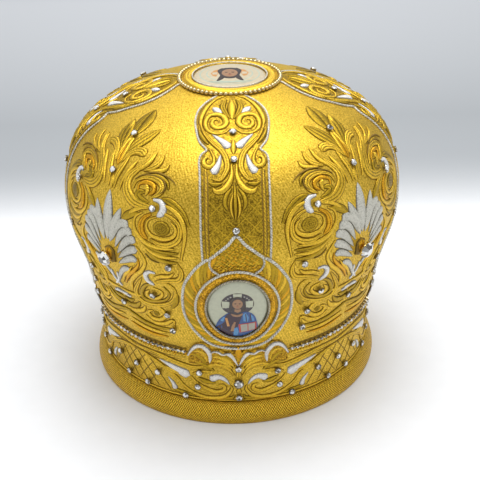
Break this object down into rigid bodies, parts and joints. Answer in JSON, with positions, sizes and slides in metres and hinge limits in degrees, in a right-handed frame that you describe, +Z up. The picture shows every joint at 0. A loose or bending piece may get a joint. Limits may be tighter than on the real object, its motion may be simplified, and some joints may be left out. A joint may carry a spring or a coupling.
{
  "type": "bishop mitre",
  "caption": "Domed cloth mitre with a lower band, shaped straps, framed medallions and sewn stones, open below for the head.",
  "frame": {"origin": "centre of the rim roll's foot, on the surface it rests on", "axes": "+Z up through the top medallion, -Y to the front medallion, +X to the right seen from the front"},
  "size_m": [0.2488, 0.2488, 0.2251],
  "materials": {
    "gold_brocade": "woven metallic brocade",
    "band_embroidery": "metallic thread embroidery",
    "rim_braid": "diagonal metallic braid",
    "strap_cloth": "bronze gold brocade with embroidery",
    "frame_embroidery": "metallic thread embroidery",
    "picture_plate": "printed and lacquered",
    "silver_beads": "bright silver cups and beads",
    "cut_stone": "clear foiled cut glass",
    "gold_cabochon": "polished gold"
  },
  "bodies": {
    "root": {"crown": "gold_brocade", "lower_band": "band_embroidery", "rim_roll": "rim_braid", "medallion_frame_front": "frame_embroidery", "picture_plate_front": "picture_plate", "strap_front": "strap_cloth", "band_crest_front": "band_embroidery", "band_stone_front": "cut_stone", "strap_stone_front_1": "cut_stone", "strap_stone_front_2": "cut_stone", "strap_stone_front_3": "cut_stone", "medallion_frame_right": "frame_embroidery", "picture_plate_right": "picture_plate", "strap_right": "strap_cloth", "band_crest_right": "band_embroidery", "band_stone_right": "cut_stone", "strap_stone_right_1": "cut_stone", "strap_stone_right_2": "cut_stone", "strap_stone_right_3": "cut_stone", "medallion_frame_back": "frame_embroidery", "picture_plate_back": "picture_plate", "strap_back": "strap_cloth", "band_crest_back": "band_embroidery", "band_stone_back": "cut_stone", "strap_stone_back_1": "cut_stone", "strap_stone_back_2": "cut_stone", "strap_stone_back_3": "cut_stone", "medallion_frame_left": "frame_embroidery", "picture_plate_left": "picture_plate", "strap_left": "strap_cloth", "band_crest_left": "band_embroidery", "band_stone_left": "cut_stone", "strap_stone_left_1": "cut_stone", "strap_stone_left_2": "cut_stone", "strap_stone_left_3": "cut_stone", "bead_string_front_right": "silver_beads", "palmette_crystal_front_right": "cut_stone", "panel_stone_front_right_1": "cut_stone", "panel_stone_front_right_2": "cut_stone", "bead_string_back_right": "silver_beads", "palmette_crystal_back_right": "cut_stone", "panel_stone_back_right_1": "cut_stone", "panel_stone_back_right_2": "cut_stone", "bead_string_back_left": "silver_beads", "palmette_crystal_back_left": "cut_stone", "panel_stone_back_left_1": "cut_stone", "panel_stone_back_left_2": "cut_stone", "bead_string_front_left": "silver_beads", "palmette_crystal_front_left": "cut_stone", "panel_stone_front_left_1": "cut_stone", "panel_stone_front_left_2": "cut_stone", "top_plate": "picture_plate", "top_bezel": "frame_embroidery", "top_bead_ring": "silver_beads", "side_cabochon_right": "gold_cabochon", "side_cabochon_left": "gold_cabochon"}
  },
  "joints": []
}
